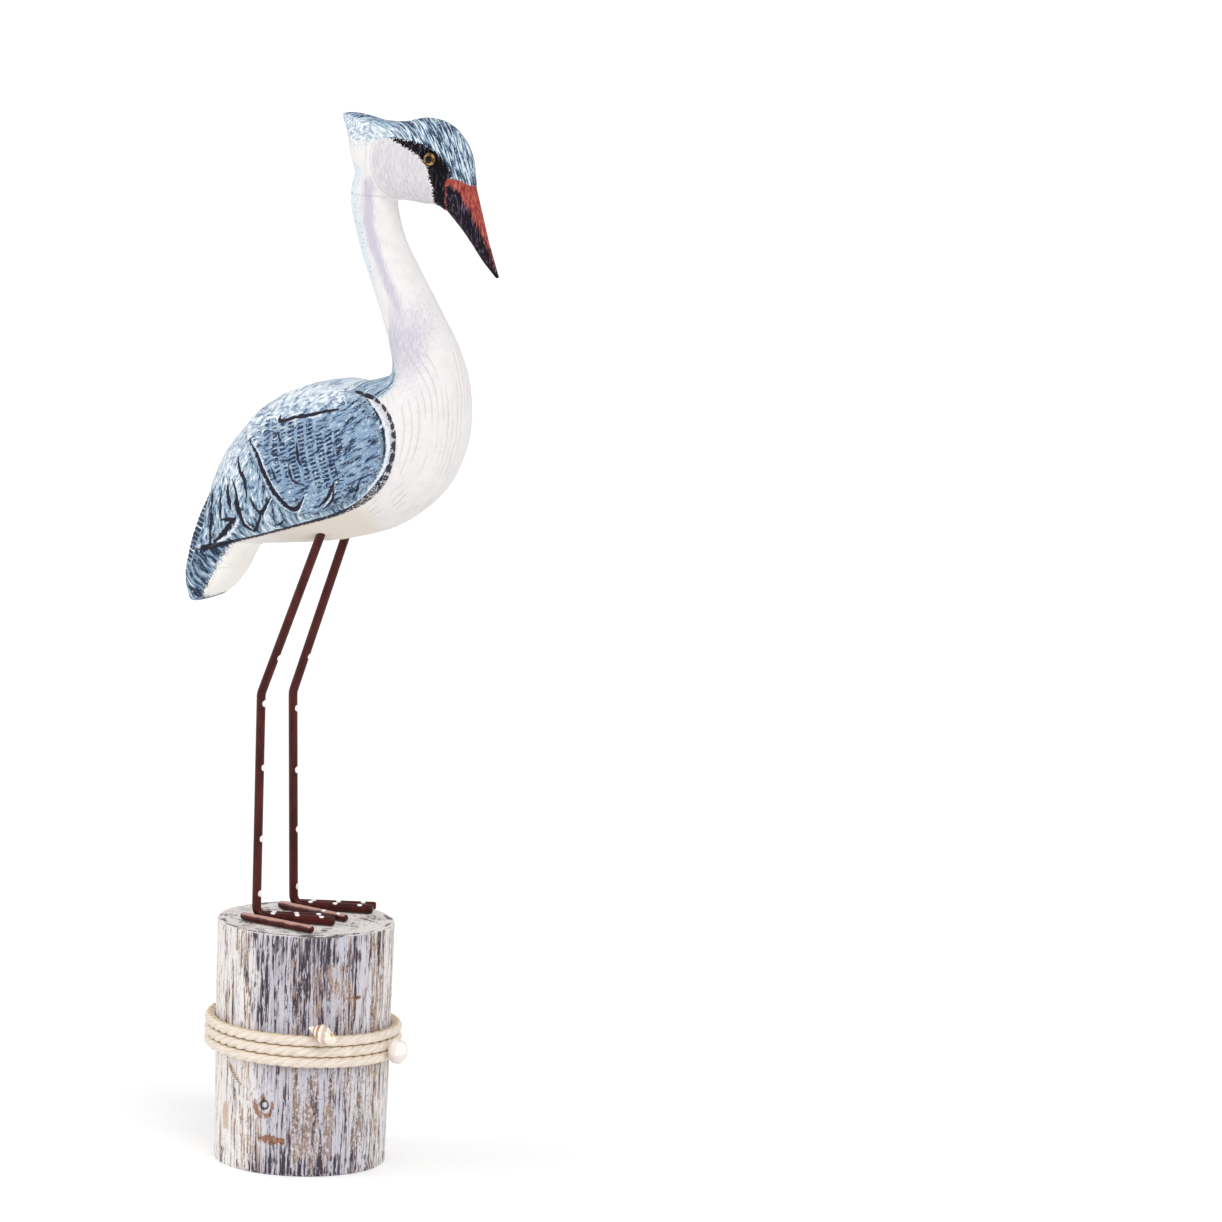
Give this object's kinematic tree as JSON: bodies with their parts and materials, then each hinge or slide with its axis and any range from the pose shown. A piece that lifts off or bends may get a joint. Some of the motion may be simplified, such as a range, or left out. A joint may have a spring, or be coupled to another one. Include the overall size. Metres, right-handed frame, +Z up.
{
  "type": "wooden heron figurine",
  "caption": "Painted wooden wading bird with a long neck and down-pointing beak, on thin metal legs, standing on a round whitewashed post tied with rope and sea shells.",
  "frame": {"origin": "centre of the post's underside", "axes": "+Z up along the post, +X the way the bird looks, +Y its left side"},
  "size_m": [0.1502, 0.0912, 0.4885],
  "materials": {
    "painted_wood": "matte paint",
    "whitewashed_wood": "whitewash rubbed back",
    "cotton_rope": "twisted cotton",
    "glass_eye": "gloss",
    "lacquered_rod": "satin lacquer",
    "sea_shell": "natural satin"
  },
  "bodies": {
    "root": {"post": "whitewashed_wood", "rope": "cotton_rope", "bird": "painted_wood", "eye_right": "glass_eye", "eye_left": "glass_eye", "leg_right": "lacquered_rod", "leg_left": "lacquered_rod", "toe_outer_right": "lacquered_rod", "toe_inner_right": "lacquered_rod", "toe_outer_left": "lacquered_rod", "toe_inner_left": "lacquered_rod", "shell_spiral": "sea_shell", "shell_round": "sea_shell"}
  },
  "joints": []
}
